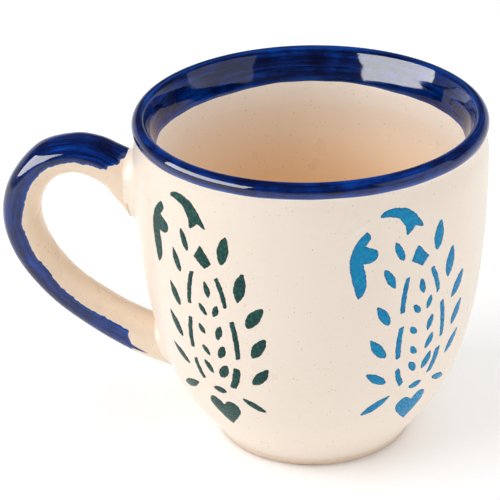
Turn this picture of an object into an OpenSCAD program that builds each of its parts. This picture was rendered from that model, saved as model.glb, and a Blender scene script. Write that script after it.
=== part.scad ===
// Stoneware mug with a looped strap handle, a cobalt rim band and painted leaf sprigs.
// The origin is the centre of the foot's resting face, +Z runs up the cup's axis and
// the handle reaches out along -X. All sizes are in millimetres and degrees.

/* [Cup] */
// Height of the cup, from the table to the top of the lip
cup_h = 89.8; // [86:0.1:96]
// Outer diameter of the wall at its widest
belly_d = 90.3; // [89:0.1:92]
// Height at which the wall is widest
belly_z = 78; // [76:0.5:79]
// Outer diameter of the wall where it leaves the foot
foot_d = 52.6; // [50:0.2:55]
// Height of the turned foot band
foot_h = 2.9; // [2.4:0.1:3.4]
// Outer diameter of the foot's resting face
foot_rest_d = 49.6; // [46:0.2:50]
// Angle at which the wall leaves the foot, up from the horizontal
wall_lean = 53; // [50:1:56]
// Length of the wall's curve handle at the foot
wall_start = 13.5; // [12:0.5:15]
// Length of the wall's curve handle below the widest point
wall_shoulder = 55; // [52:1:57]
// Outer diameter of the neck under the lip
neck_d = 89; // [88.6:0.1:89.4]

/* [Lip] */
// Outer diameter of the lip's bead
lip_d = 90; // [89.6:0.1:90.2]
// Radius of the bead on the lip's outer side
bead_r = 2.4; // [2.2:0.1:2.6]
// Radius of the lip's rounded top
lip_top_r = 1.5; // [1.3:0.1:1.7]
// Slope of the flare inside the lip, out from the vertical
flare_slope = 24; // [20:1:28]

/* [Inside] */
// Inner diameter of the cup below the flare
inner_d = 76.4; // [75:0.2:78]
// Height at which the inside starts to open out towards the lip
inner_z = 75; // [72:0.5:77]
// Thickness of the floor
floor_t = 6.5; // [5.5:0.1:8]
// Diameter of the flat middle of the inside floor
inner_floor_d = 28; // [20:1:34]

/* [Glaze] */
// Thickness of the glaze coats and of the cobalt bands
glaze_t = 0.35; // [0.3:0.01:0.4]
// Height at which the outer glaze stops above the table
glaze_start = 0.6; // [0.4:0.1:1]
// Height of the cobalt rim band's lower edge outside
band_outer_z = 86; // [85.4:0.1:86]
// Height of the cobalt rim band's lower edge inside
band_inner_z = 80.8; // [79:0.1:82]

/* [Handle] */
// Width of the strap
strap_w = 12.4; // [11:0.2:14]
// Extra width of the strap at each root
root_widening = 1.4; // [0:0.2:2]
// How far the joining slip spreads round each root
slip_spread = 2.2; // [1.5:0.1:2.6]
// Fullness of the strap's section: 2 is an ellipse, more is squarer
strap_fullness = 2.3; // [2:0.1:2.8]

/* [Sprigs] */
// Thickness of the painted pigment on the wall
paint_t = 0.15; // [0.1:0.01:0.2]
// Angle round the cup from the handle to the near green sprig, the same for the far blue one
near_sprig_angle = 61.5; // [60:0.5:64]
// Angle round the cup from the handle to the near blue sprig, the same for the far green one
far_sprig_angle = 135; // [132:0.5:138]
// Tilt of the near blue sprig, with its top towards the handle
near_blue_tilt = 3.7; // [0:0.1:5]

/* [Hidden] */

clay_colour = [0.80, 0.70, 0.56];
cream_colour = [0.95, 0.90, 0.82];
inside_colour = [0.84, 0.73, 0.59];
cobalt_colour = [0.03, 0.08, 0.42];
green_colour = [0.17, 0.33, 0.30];
blue_colour = [0.13, 0.50, 0.74];

$fn = 180;
wall_steps = 22;
above = cup_h + 10;

// Angle, up from the horizontal, at which the lip's bead runs into its rounded top
lip_split = 62;
bead_centre = [
    lip_d / 2 - bead_r,
    cup_h - lip_top_r - (bead_r - lip_top_r) * sin(lip_split)
];
top_centre = bead_centre + (bead_r - lip_top_r) * [cos(lip_split), sin(lip_split)];

// The points of an arc about a centre between two angles, without its first point
function arc(centre, r, from, to, steps) = [for (i = [1 : steps])
    let (angle = from + (to - from) * i / steps)
    centre + r * [cos(angle), sin(angle)]];

// A point at t from 0 to 1 along the cubic curve with end points a, d and handles b, c
function curve(a, b, c, d, t) =
    pow(1 - t, 3) * a + 3 * pow(1 - t, 2) * t * b + 3 * (1 - t) * t * t * c + pow(t, 3) * d;

// The outer wall's outline, [radius, height], from the foot up to its widest point
foot_corner = [foot_d / 2, foot_h];
belly_point = [belly_d / 2, belly_z];
wall_curve = [for (i = [0 : wall_steps]) curve(
    foot_corner,
    foot_corner + wall_start * [cos(wall_lean), sin(wall_lean)],
    belly_point - [0, wall_shoulder],
    belly_point,
    i / wall_steps)];

// The wall's outline from its widest point in to the neck, where the lip's bead starts
neck_angle = acos((neck_d / 2 - bead_centre[0]) / bead_r);
neck_point = bead_centre + bead_r * [cos(neck_angle), -sin(neck_angle)];
neck_curve = [for (i = [1 : 5]) curve(
    belly_point, belly_point + [0, 4], neck_point - [0, 3], neck_point, i / 5)];
outer_outline = concat(wall_curve, neck_curve);

// The lip's outline from the neck over its top to the flare, moved in by inset
function lip_outline(inset) = concat(
    arc(bead_centre, bead_r - inset, -neck_angle, lip_split, 10),
    arc(top_centre, lip_top_r - inset, lip_split, 180 - flare_slope, 10)
);

// The inside's outline, from the flat floor up to where it opens out, moved out by growth
inner_floor_point = [inner_floor_d / 2, floor_t];
inner_point = [inner_d / 2, inner_z];
inner_curve = [for (i = [0 : 16]) curve(
    inner_floor_point, inner_floor_point + [16, 0], inner_point - [0, 44], inner_point, i / 16)];
function inner_outline(growth) =
    [for (p = inner_curve) p + [growth, p[1] < floor_t + 4 ? -growth : 0]];

// The flare's outline from there out to the rounded lip, moved out by growth
flare_steps = 7;
flare_way = [sin(flare_slope), cos(flare_slope)];
flare_end = top_centre + lip_top_r * [-cos(flare_slope), sin(flare_slope)];
function flare_outline(growth) = [for (i = [1 : flare_steps])
    let (tilt = flare_slope * i / flare_steps)
    curve(inner_point, inner_point + [0, 4.5], flare_end - 4 * flare_way, flare_end,
        i / flare_steps) + growth * [cos(tilt), -sin(tilt)]];

// ---- Cup sections, each a 2D outline in [radius, height] ----

// The outside's outline from the middle of the base up and over the lip, moved in by inset
function outside(inset) = concat(
    [[0, 0], [foot_rest_d / 2 - inset, 0], [foot_rest_d / 2 + 0.5 - inset, 0.5]],
    [[foot_d / 2 - 0.3 - inset, foot_h - 0.3]],
    [for (p = outer_outline) p - [inset, 0]],
    lip_outline(inset)
);

// The inside's outline from the middle of the floor up to the lip, moved out by growth
function inside(growth) = concat(
    [[0, floor_t - growth]], inner_outline(growth), flare_outline(growth)
);

// The cup as if it were full to the lip, with its wall moved in by inset
module outer_form(inset) {
    points = outside(inset);
    polygon(concat(points, [[0, points[len(points) - 1][1]]]));
}

// The hollow of the cup, with its wall moved out by growth
module hollow_form(growth) {
    points = inside(growth);
    polygon(concat(points, [[0, points[len(points) - 1][1]]]));
}

// The wall, floor and rounded lip, with every glazed face moved in by inset
module cup_section(inset) {
    way_in = inside(inset);
    polygon(concat(outside(inset), [for (i = [len(way_in) - 2 : -1 : 0]) way_in[i]]));
}

// A band between two heights, wide enough to cut any cup section
module height_band(low, high) {
    translate([0, low]) square([belly_d, high - low]);
}

// Where the rim band lies: above one height outside the lip and another inside it
module rim_zone() {
    height_band(band_outer_z, above);
    intersection() {
        height_band(band_inner_z, above);
        square([bead_centre[0], above]);
    }
}

// ---- Handle: cross-sections swept between an outer and an inner edge ----

// Outer edge of the strap, [distance from the cup's axis, height], upper root to lower root
outer_edge = [
    [46.6, 76], [50, 77.5], [55, 79.5], [62, 80], [71.5, 76.8], [79, 67.5],
    [81.2, 56.5], [78, 45], [69.5, 33.8], [58, 24.8], [46.5, 18.2], [37, 14.9]
];
// Inner edge of the strap, one point facing each point of the outer edge
inner_edge = [
    [46.6, 58.6], [50, 63.2], [54, 68], [60.5, 70.6], [66.3, 68.8], [70.3, 63.5],
    [71.4, 57], [69.2, 49.3], [62.8, 40.5], [53, 33.4], [45.5, 29.5], [41.6, 28]
];
last_knot = len(outer_edge) - 1;
stripe_start = 1;
stripe_end = last_knot - 1;
rings_per_knot = 5;
section_sides = 24;
// The stripe wraps this far round the section, to each side of the outer edge
stripe_wrap = 90;

// A point at s along the smooth curve through the knots, where whole numbers are the knots
function spline(knots, s) =
    let (
        n = len(knots) - 1,
        i = min(floor(s), n - 1),
        t = s - i,
        p0 = knots[max(i - 1, 0)],
        p1 = knots[i],
        p2 = knots[i + 1],
        p3 = knots[min(i + 2, n)]
    )
    p1 + 0.5 * t * ((p2 - p0) + t * ((2 * p0 - 5 * p1 + 4 * p2 - p3)
        + t * (3 * p1 - p0 - 3 * p2 + p3)));

// The strap's half width at s, wider near both roots
function half_width(s) =
    strap_w / 2 + root_widening / 2 * pow(1 - min(1, min(s, last_knot - s) / 2), 2);

// A signed power, which squares up the section
function bulge(x) = sign(x) * pow(abs(x), 2 / strap_fullness);

// A point of the section at s, at an angle from the outer edge, moved in by inset
function section_point(s, angle, inset) =
    let (
        outer = spline(outer_edge, s),
        inner = spline(inner_edge, s),
        centre = (outer + inner) / 2,
        reach = norm(outer - inner) / 2,
        across = (outer - inner) / (2 * reach),
        place = centre + across * (reach - inset) * bulge(cos(angle))
    )
    [-place[0], (half_width(s) - inset) * bulge(sin(angle)), place[1]];

// A whole ring of the section
function full_ring(s, inset) =
    [for (k = [0 : section_sides - 1]) section_point(s, k * 360 / section_sides, inset)];

// A thin ring between the strap's surface and the clay, over part of the way round
function skin_ring(s, from, to) =
    let (steps = section_sides / 2)
    concat(
        [for (k = [0 : steps]) section_point(s, from + (to - from) * k / steps, 0)],
        [for (k = [steps : -1 : 0]) section_point(s, from + (to - from) * k / steps, glaze_t)]
    );

// The closed solid through a list of rings that all have the same number of points.
// Each end is closed by a strip of triangles between the ring's first and second half.
module loft(rings) {
    n = len(rings[0]);
    last = len(rings) - 1;
    walls = [for (j = [0 : last - 1]) for (k = [0 : n - 1]) let (m = (k + 1) % n) each [
        [j * n + k, (j + 1) * n + k, (j + 1) * n + m],
        [j * n + k, (j + 1) * n + m, j * n + m]
    ]];
    cap = [for (k = [0 : n / 2 - 2]) each [[k, k + 1, n - 2 - k], [k, n - 2 - k, n - 1 - k]]];
    last_cap = [for (face = cap) [last * n + face[0], last * n + face[2], last * n + face[1]]];
    polyhedron(points = [for (ring = rings) each ring], faces = concat(walls, cap, last_cap));
}

// The stations of the rings between two places along the strap
function stations(from, to) =
    let (steps = round((to - from) * rings_per_knot))
    [for (i = [0 : steps]) from + (to - from) * i / steps];

// The pad of joining slip: the strap's end section carried on into the wall and spread out
module slip_pad(s, inward) {
    spread = [[0, 0], [0.25, 0.8], [0.6, 1.5], [1, 2.1], [1, 4.5]];
    rings = [for (row = spread) [
        for (p = full_ring(s, -slip_spread * row[0])) p + inward * row[1]
    ]];
    loft(inward[0] * (s < 1 ? 1 : -1) > 0 ? rings : [for (i = [len(rings) - 1 : -1 : 0]) rings[i]]);
}

// The window that a root's slip leaves in the outer glaze: a slot through the wall
module glaze_window(height, tall) {
    window_r = (strap_w + root_widening) / 2 + slip_spread + 0.1;
    straight = tall / 2 + slip_spread + 0.1 - window_r;
    radial(-90) translate([0, height]) {
        square([2 * window_r, 2 * straight], center = true);
        for (side = [-1, 1]) translate([0, side * straight]) circle(r = window_r);
    }
}

// The direction from a root's end face into the wall
upper_inward = [1, 0, 0];
lower_lean = atan2(
    inner_edge[last_knot][0] - outer_edge[last_knot][0],
    inner_edge[last_knot][1] - outer_edge[last_knot][1]);
lower_inward = [cos(lower_lean), 0, sin(lower_lean)];

module upper_pad_form() {
    slip_pad(0, upper_inward);
}

module lower_pad_form() {
    slip_pad(last_knot, lower_inward);
}

// A root's middle height on the wall, and how tall its end face is
function root_middle(i) = (outer_edge[i][1] + inner_edge[i][1]) / 2;
function root_tall(i) = inner_edge[i][1] > outer_edge[i][1]
    ? inner_edge[i][1] - outer_edge[i][1]
    : outer_edge[i][1] - inner_edge[i][1];

// ---- Painted sprigs ----

// Places in a sprig are [degrees to the right of the sprig's axis, height above the table].
// Leaves: [degrees, height, lean from upright to the right, length, width]
outer_leaves = [
    [-7.5, 70.2, -20, 6.3, 1.9], [-11.5, 63.5, -22, 6.7, 2.1], [-14, 53.3, -27, 7, 2.4],
    [-16, 43.8, -30, 7.8, 2.5], [-16.6, 34.5, -50, 7.3, 2.3], [-16.3, 25.1, 62, 9, 2.3],
    [7.8, 70.4, 10, 8.3, 3], [13.1, 61.1, 12, 8.7, 3], [17.5, 53, 36, 8, 3],
    [18.3, 44.2, 32, 7.5, 2.8], [17.9, 35.3, 40, 7.3, 2.6], [13.7, 25.2, -62, 7.3, 1.9]
];
inner_leaves = [
    [0.6, 58.3, -12, 4.6, 1.7], [-1.6, 52.2, -35, 3.8, 1.5], [-2.8, 46.2, -32, 3.3, 1.5],
    [-2.4, 39.9, -35, 3.5, 1.5], [-2.5, 34.7, -32, 4.3, 1.8], [3.5, 52.7, 20, 3.8, 1.6],
    [4.2, 46.4, 18, 4.7, 1.8], [4.3, 40.7, 28, 4.7, 2], [3.9, 34.6, 30, 5.3, 2.4],
    [0.4, 27.8, 90, 4.2, 2]
];
// Stem strokes: [top degrees, top height, bottom degrees, bottom height, width]
stem_strokes = [
    [-4.9, 62.1, -7.2, 52.5, 1.2], [-7.5, 48.4, -8.6, 39, 1.3], [-8.6, 35.6, -6.3, 29.9, 1.3],
    [4.6, 62.2, 7.4, 54.5, 1.2], [9.3, 50.8, 10.4, 39.8, 1.3], [9.4, 36.6, 6.5, 29.8, 1.8]
];
// Bud at the top, hooked leaf above it and lobed leaf beside it, as outlines
bud_points = [[-0.8, 70.3], [3.2, 66], [0.5, 64.1], [-3.5, 66.6]];
hook_points = [
    [-14, 80.9], [-11.5, 81.9], [-9, 82.1], [-4.6, 81.2], [-1.3, 78.9], [1.8, 74.8],
    [-1.5, 75.9], [-4.8, 73.8], [-5.2, 76.5], [-7.5, 79.4], [-11.5, 80.5]
];
lobed_points = [
    [-18, 77.8], [-17, 76], [-19, 74], [-15.4, 72.3], [-15.2, 70.5], [-17.5, 69.3],
    [-20, 69.5], [-19.3, 65], [-20, 61.6], [-22.3, 59.8], [-23.6, 65], [-24, 70.5], [-21.7, 75]
];
heart_half = 4.6;
heart_lobe_r = 2.9;
heart_top = 24.3;
heart_tip = 15.4;
// Middle heights of a whole sprig, which it tilts about, and of the shapes drawn as outlines
sprig_middle = 48;
heart_middle = 20;
bud_middle = 67;
hook_middle = 78;
lobed_middle = 69;

// The wall's outer radius at a height
function wall_radius(z) = lookup(z, [for (p = outer_outline) [p[1], p[0]]]);

// Degrees round the cup turned into millimetres along the wall
function along(degrees, z) = degrees * PI / 180 * wall_radius(z);

// A leaf outline: two equal arcs that meet in a point at each end
module leaf_shape(length, width) {
    arc_r = (length * length + width * width) / (4 * width);
    intersection() {
        translate([arc_r - width / 2, 0]) circle(r = arc_r);
        translate([width / 2 - arc_r, 0]) circle(r = arc_r);
    }
}

// A heart outline with its tip down
module heart_shape() {
    lobe_x = heart_half - heart_lobe_r;
    lobe_y = heart_top - heart_lobe_r;
    for (side = [-1, 1]) translate([side * lobe_x, lobe_y]) circle(r = heart_lobe_r);
    polygon([
        [-heart_half + 0.35, lobe_y - 1.4], [0, heart_tip], [heart_half - 0.35, lobe_y - 1.4],
        [heart_half - 1.5, lobe_y + 1], [0, lobe_y + 1.9], [1.5 - heart_half, lobe_y + 1]
    ]);
}

// A place in a sprig once the sprig is tilted about its middle, with its top to the left
function tilted(place, tilt) =
    let (
        x = along(place[0], place[1]),
        up = place[1] - sprig_middle,
        z = sprig_middle + up * cos(tilt) + x * sin(tilt)
    )
    [(x * cos(tilt) - up * sin(tilt)) / wall_radius(z) * 180 / PI, z];

// Stands a stroke, drawn round its own middle, at its place and runs it out through the wall
module stroke_at(place, angle, tilt) {
    there = tilted(place, tilt);
    rotate([0, 0, angle + there[0]]) rotate([90, 0, 0]) linear_extrude(belly_d / 2 + 2)
        translate([0, there[1]]) rotate(tilt) children();
}

// An outline whose points are given in degrees and heights, drawn round its middle
module outline_shape(points, middle) {
    polygon([for (p = points) [along(p[0] - middle[0], p[1]), p[1] - middle[1]]]);
}

// All strokes of one sprig, as prisms that run out through the wall
module sprig_prisms(angle, tilt) {
    for (leaf = concat(outer_leaves, inner_leaves))
        stroke_at([leaf[0], leaf[1]], angle, tilt) rotate(-leaf[2]) leaf_shape(leaf[3], leaf[4]);
    for (stroke = stem_strokes) {
        middle = [stroke[0] + stroke[2], stroke[1] + stroke[3]] / 2;
        run = [along(stroke[0] - stroke[2], middle[1]), stroke[1] - stroke[3]];
        stroke_at(middle, angle, tilt) rotate(-atan2(run[0], run[1]))
            square([stroke[4], norm(run)], center = true);
    }
    stroke_at([0, heart_middle], angle, tilt) translate([0, -heart_middle]) heart_shape();
    for (drawn = [
        [bud_points, [0, bud_middle]], [hook_points, [-6, hook_middle]],
        [lobed_points, [-20, lobed_middle]]
    ])
        stroke_at(drawn[1], angle, tilt) outline_shape(drawn[0], drawn[1]);
}

// One sprig: a thin coat on the wall, cut to the sprig's strokes
module sprig(angle, tilt = 0) {
    intersection() {
        rotate_extrude() difference() {
            outer_form(-paint_t);
            outer_form(0);
            height_band(-1, heart_tip - 1);
            height_band(band_outer_z - 2, above);
        }
        sprig_prisms(angle, tilt);
    }
}

// ---- Sub-parts ----

// Thrown clay cup: foot, floor, wall and rounded lip
module stoneware_body() {
    color(clay_colour) rotate_extrude() cup_section(glaze_t);
}

// Clear liner glaze inside, up to the rim band
module inner_glaze() {
    color(inside_colour) rotate_extrude() intersection() {
        difference() {
            hollow_form(glaze_t);
            hollow_form(0);
        }
        height_band(0, band_inner_z);
    }
}

// Cream glaze outside, from just above the foot's edge to the rim band
module outer_glaze() {
    color(cream_colour) difference() {
        rotate_extrude() intersection() {
            difference() {
                outer_form(0);
                outer_form(glaze_t);
            }
            height_band(glaze_start, band_outer_z);
        }
        glaze_window(root_middle(0), root_tall(0));
        glaze_window(root_middle(last_knot), root_tall(last_knot));
    }
}

// Cobalt band over the lip
module rim_band() {
    color(cobalt_colour) rotate_extrude() intersection() {
        difference() {
            cup_section(0);
            cup_section(glaze_t);
        }
        rim_zone();
    }
}

// Clay strap of the handle
module handle() {
    color(clay_colour) loft([for (s = stations(0, last_knot)) full_ring(s, glaze_t)]);
}

// Cream glaze on the strap: its inner half, and its outer half beyond the stripe's ends
module handle_glaze() {
    color(cream_colour) {
        loft([for (s = stations(0, last_knot)) skin_ring(s, stripe_wrap, 360 - stripe_wrap)]);
        loft([for (s = stations(0, stripe_start)) skin_ring(s, -stripe_wrap, stripe_wrap)]);
        loft([for (s = stations(stripe_end, last_knot)) skin_ring(s, -stripe_wrap, stripe_wrap)]);
    }
}

// Cobalt stripe along the strap's outer half
module handle_stripe() {
    color(cobalt_colour)
        loft([for (s = stations(stripe_start, stripe_end)) skin_ring(s, -stripe_wrap, stripe_wrap)]);
}

// Slip that joins the strap's upper root to the wall
module upper_handle_slip() {
    color(cream_colour) difference() {
        upper_pad_form();
        rotate_extrude() outer_form(glaze_t);
    }
}

// Slip that joins the strap's lower root to the wall
module lower_handle_slip() {
    color(cream_colour) difference() {
        lower_pad_form();
        rotate_extrude() outer_form(glaze_t);
    }
}

// The sprigs' angles are measured from the handle, which lies at -90
module front_green_sprig() {
    color(green_colour) sprig(near_sprig_angle - 90);
}

module front_blue_sprig() {
    color(blue_colour) sprig(far_sprig_angle - 90, near_blue_tilt);
}

module back_green_sprig() {
    color(green_colour) sprig(-far_sprig_angle - 90);
}

module back_blue_sprig() {
    color(blue_colour) sprig(-near_sprig_angle - 90);
}

stoneware_body();
inner_glaze();
outer_glaze();
rim_band();
handle();
handle_glaze();
handle_stripe();
upper_handle_slip();
lower_handle_slip();
front_green_sprig();
front_blue_sprig();
back_green_sprig();
back_blue_sprig();
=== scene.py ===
"""The stoneware mug's looks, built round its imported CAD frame.

Shapes are worked out in millimetres and become metres where a mesh is made. Angles round the cup
are in degrees, 0 at -Y and 90 at +X, so the handle lies at -90.
"""

import math

import bmesh
import bpy
import numpy as np
from mathutils import Matrix, Vector
from mathutils.geometry import delaunay_2d_cdt


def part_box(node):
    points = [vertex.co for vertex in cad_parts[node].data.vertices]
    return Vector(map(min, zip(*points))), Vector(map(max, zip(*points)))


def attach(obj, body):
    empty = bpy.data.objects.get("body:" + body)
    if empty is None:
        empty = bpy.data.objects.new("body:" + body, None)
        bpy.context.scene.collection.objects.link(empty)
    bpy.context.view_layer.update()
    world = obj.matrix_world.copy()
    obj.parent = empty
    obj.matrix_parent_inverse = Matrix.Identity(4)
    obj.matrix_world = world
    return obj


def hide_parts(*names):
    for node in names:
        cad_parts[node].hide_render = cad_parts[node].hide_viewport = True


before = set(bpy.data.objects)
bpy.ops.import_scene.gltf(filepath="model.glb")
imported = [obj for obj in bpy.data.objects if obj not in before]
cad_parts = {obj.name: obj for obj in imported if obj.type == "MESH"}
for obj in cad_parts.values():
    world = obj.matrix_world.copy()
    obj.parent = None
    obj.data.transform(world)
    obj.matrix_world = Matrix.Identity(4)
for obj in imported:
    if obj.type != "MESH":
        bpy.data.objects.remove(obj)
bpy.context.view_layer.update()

MM = 0.001
BODY = "root"
HANDLE_ANGLE = -90


def box_mm(node):
    """A CAD node's lowest and highest corner in millimetres."""
    low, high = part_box(node)
    return np.array(low) / MM, np.array(high) / MM


# ---- Curves ----

def cubic(a, b, c, d, t):
    """The points at t along the cubic curve from a to d with handles b and c."""
    return (1 - t) ** 3 * a + 3 * (1 - t) ** 2 * t * b + 3 * (1 - t) * t ** 2 * c + t ** 3 * d


def stretch(a, b, c, d, steps):
    """A stretch of outline along a cubic curve, without its first point."""
    a, b, c, d = (np.array(p, float) for p in (a, b, c, d))
    return cubic(a, b, c, d, np.linspace(0, 1, steps + 1)[1:, None])


def unit(vectors):
    """Vectors scaled to length 1."""
    return vectors / (np.linalg.norm(vectors, axis=-1, keepdims=True) + 1e-12)


def smooth(x, low, high):
    """0 below low, 1 above high and a soft step between them."""
    t = np.clip((x - low) / (high - low), 0, 1)
    return t * t * (3 - 2 * t)


# ---- The cup's outline, [radius, height], from the foot over the lip to the inside floor ----

def spoke(angle):
    """The unit vector at an angle, in radians, up from straight out."""
    return np.stack([np.cos(angle), np.sin(angle)], -1)


band_low, band_high = box_mm("rim_band")
coat_low, coat_high = box_mm("outer_glaze")
cup_top = band_high[2]
band_inner_z = band_low[2]
band_outer_z = coat_high[2]
glaze_start = coat_low[2]
glaze_t = 0.35
floor_z = box_mm("inner_glaze")[0][2] + glaze_t

# The lip is a bead outside, which changes to a tighter top at lip_split and ends in the flare
bead_r = 2.4
lip_top_r = 1.5
bead_start = math.radians(-24)
lip_split = math.radians(62)
flare_slope = math.radians(24)
top_centre_z = cup_top - lip_top_r
top_centre_r = band_high[0] - bead_r + (bead_r - lip_top_r) * math.cos(lip_split)
top_centre = np.array([top_centre_r, top_centre_z])
bead_centre = top_centre - (bead_r - lip_top_r) * spoke(lip_split)

# Places that the outline passes through, from the foot up and then down the inside
foot_r = 25.3
foot_corner = np.array([foot_r + 1, 2.9])
wall_lean = math.radians(53)
wall_pull = 13.5
belly_drop = 11.8
belly = np.array([coat_high[0], cup_top - belly_drop])
neck = np.array([bead_centre[0] + 1.88, cup_top - 4.5])
inner_top = np.array([bead_centre[0] - 4.4, cup_top - 14.8])
floor_edge = np.array([14, floor_z])


def lip_arc():
    """The lip: the bead on its outer side, then its tighter top as far as the flare inside."""
    bead = bead_centre + bead_r * spoke(np.linspace(bead_start, lip_split, 34))
    top = top_centre + lip_top_r * spoke(np.linspace(lip_split, math.pi - flare_slope, 36))
    return np.vstack([bead, top[1:]])


def cup_outline():
    """The whole glazed outline of the cup, as cubic stretches between its named places."""
    wall_start = wall_pull * spoke(wall_lean)
    lip = lip_arc()
    into_lip = spoke(bead_start + math.pi / 2)
    out_of_lip = spoke(-math.pi / 2 - flare_slope)
    foot = [[foot_r + 0.03, glaze_start], [foot_r + 0.32, 1.5], [foot_r + 0.55, 2.25]]
    crease = [[foot_r + 0.66, 2.6], [foot_r + 0.8, 2.8], foot_corner]
    return np.vstack([
        foot,
        crease,
        stretch(foot_corner, foot_corner + wall_start, belly - [0, 55], belly, 140),
        stretch(belly, belly + [0, 3.4], neck - [0, 2], neck, 20),
        stretch(neck, neck + [0, 0.5], lip[0] - 0.5 * into_lip, lip[0], 10),
        lip[1:],
        stretch(lip[-1], lip[-1] + 4 * out_of_lip, inner_top + [0, 4.5], inner_top, 40),
        stretch(inner_top, inner_top - [0, 44], floor_edge + [16, 0], floor_edge, 110),
        [[10, floor_z], [6, floor_z], [2, floor_z], [0.5, floor_z]],
    ])


outline = cup_outline()
run = np.concatenate([[0], np.cumsum(np.hypot(*np.diff(outline, axis=0).T))])
top_row = int(outline[:, 1].argmax())


def run_outside(z):
    """How far along the outline a height on the outside lies."""
    return np.interp(z, outline[:top_row + 1, 1], run[:top_row + 1])


def run_inside(z):
    """How far along the outline a height on the inside lies."""
    return np.interp(-z, -outline[top_row:, 1], run[top_row:])


def wall_radius(z):
    """The cup's outer radius at a height."""
    return np.interp(z, outline[:top_row + 1, 1], outline[:top_row + 1, 0])


def thrown(angle, length):
    """The small unevenness that throwing leaves, out along the surface's normal."""
    turn = np.radians(angle)
    inside = length > run[top_row]
    floor = smooth(length, run[-1] - 26, run[-1] - 12) * smooth(run[-1] - length, 0, 4)
    rings = np.sin(length * 0.85 + 0.7 * np.sin(turn)) + 0.6 * np.sin(length * 1.7 + turn)
    ring_depth = np.where(inside, 0.02, 0.008) * smooth(length, 4, 12)
    spiral = np.sin((run[-1] - length) * 1.25 + turn)
    sway = 0.03 * np.sin(2 * turn + 0.6) + 0.02 * np.sin(3 * turn + length * 0.05)
    return sway + rings * ring_depth + 0.1 * floor * spiral


def place(angle, length, lift=0.0):
    """Points on the cup at angles round it and lengths along its outline, raised off it by lift."""
    angle, length = np.broadcast_arrays(np.asarray(angle, float), np.asarray(length, float))
    step = 0.12
    r0, r, r1 = (np.interp(length + d, run, outline[:, 0]) for d in (-step, 0, step))
    z0, z, z1 = (np.interp(length + d, run, outline[:, 1]) for d in (-step, 0, step))
    normal = unit(np.stack([z1 - z0, r0 - r1], -1))
    off = lift + thrown(angle, length)
    r = r + normal[..., 0] * off
    z = z + normal[..., 1] * off
    turn = np.radians(angle)
    return np.stack([r * np.sin(turn), -r * np.cos(turn), z], -1)


# ---- Meshes ----

def make_mesh(name, points, faces, flow=None, edge=None):
    """A smooth closed mesh. flow says which way the brush went, as two slow coordinates along the
    stroke and the millimetres across it, and edge is the distance to the coat's own edge."""
    mesh = bpy.data.meshes.new(name)
    mesh.from_pydata((np.asarray(points) * MM).tolist(), [], faces)
    if flow is not None:
        values = np.asarray(flow, np.float32).ravel()
        mesh.attributes.new("flow", "FLOAT_VECTOR", "POINT").data.foreach_set("vector", values)
    if edge is not None:
        values = np.asarray(edge, np.float32).ravel()
        mesh.attributes.new("edge", "FLOAT", "POINT").data.foreach_set("value", values)
    work = bmesh.new()
    work.from_mesh(mesh)
    bmesh.ops.recalc_face_normals(work, faces=work.faces)
    work.to_mesh(mesh)
    work.free()
    mesh.shade_smooth()
    piece = bpy.data.objects.new(name, mesh)
    bpy.context.scene.collection.objects.link(piece)
    return piece


def ring_faces(rows, columns, looped):
    """The quads between rings of points that wrap round. If looped, the last joins the first."""
    starts = np.arange(rows if looped else rows - 1)
    i, k = np.meshgrid(starts, np.arange(columns), indexing="ij")
    j = (i + 1) % rows
    m = (k + 1) % columns
    corners = [i * columns + k, i * columns + m, j * columns + m, j * columns + k]
    return np.stack(corners, -1).reshape(-1, 4).tolist()


def ring_mesh(name, rings, poles=None, flow=None, edge=None):
    """A closed mesh through rings. Its ends meet, or poles gives the two points that close them."""
    rows, columns = rings.shape[:2]
    points = rings.reshape(-1, 3)
    faces = ring_faces(rows, columns, looped=poles is None)
    if poles is not None:
        first, last = len(points), len(points) + 1
        start = (rows - 1) * columns
        points = np.vstack([points, poles])
        faces += [[first, k, (k + 1) % columns] for k in range(columns)]
        faces += [[last, start + (k + 1) % columns, start + k] for k in range(columns)]
        if flow is not None:
            flow = np.vstack([flow.reshape(-1, 3), flow[0].mean(0), flow[-1].mean(0)])
        if edge is not None:
            edge = np.append(edge.ravel(), [edge[0].mean(), edge[-1].mean()])
    return make_mesh(name, points, faces, flow, edge)


def patch(top, bottom, faces, base=0):
    """The points and faces of a closed patch: a top skin, a bottom skin and a wall round them."""
    count = len(top)
    edges = {}
    for face in faces:
        for a, b in zip(face, face[1:] + face[:1]):
            edges[(a, b)] = True
    rim = [(a, b) for a, b in edges if (b, a) not in edges]
    closed = [[base + p for p in face] for face in faces]
    closed += [[base + count + p for p in reversed(face)] for face in faces]
    closed += [[base + b, base + a, base + count + a, base + count + b] for a, b in rim]
    return np.vstack([top, bottom]), closed


# ---- Finishing a piece ----

def finish_piece(piece, node, material):
    """Puts a piece on the mug in place of its CAD node, with its finish."""
    piece.data.materials.append(material)
    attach(piece, BODY)
    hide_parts(node)


# ---- Node chains ----

def linear(red, green, blue):
    """A screen colour from 0 to 255 as a linear colour."""
    def one(value):
        share = value / 255
        return share / 12.92 if share <= 0.04045 else ((share + 0.055) / 1.055) ** 2.4
    return (one(red), one(green), one(blue), 1.0)


def add_node(tree, kind, inputs, **settings):
    """Adds a node. An input is a plain value or another node's output."""
    made = tree.nodes.new(kind)
    for name, value in settings.items():
        setattr(made, name, value)
    for name, value in inputs.items():
        if isinstance(value, bpy.types.NodeSocket):
            tree.links.new(value, made.inputs[name])
        else:
            made.inputs[name].default_value = value
    return made


def noise(tree, vector, scale, detail=3.0, roughness=0.5):
    """Noise of a given scale."""
    inputs = {"Vector": vector, "Scale": scale, "Detail": detail, "Roughness": roughness}
    return add_node(tree, "ShaderNodeTexNoise", inputs).outputs["Fac"]


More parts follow.
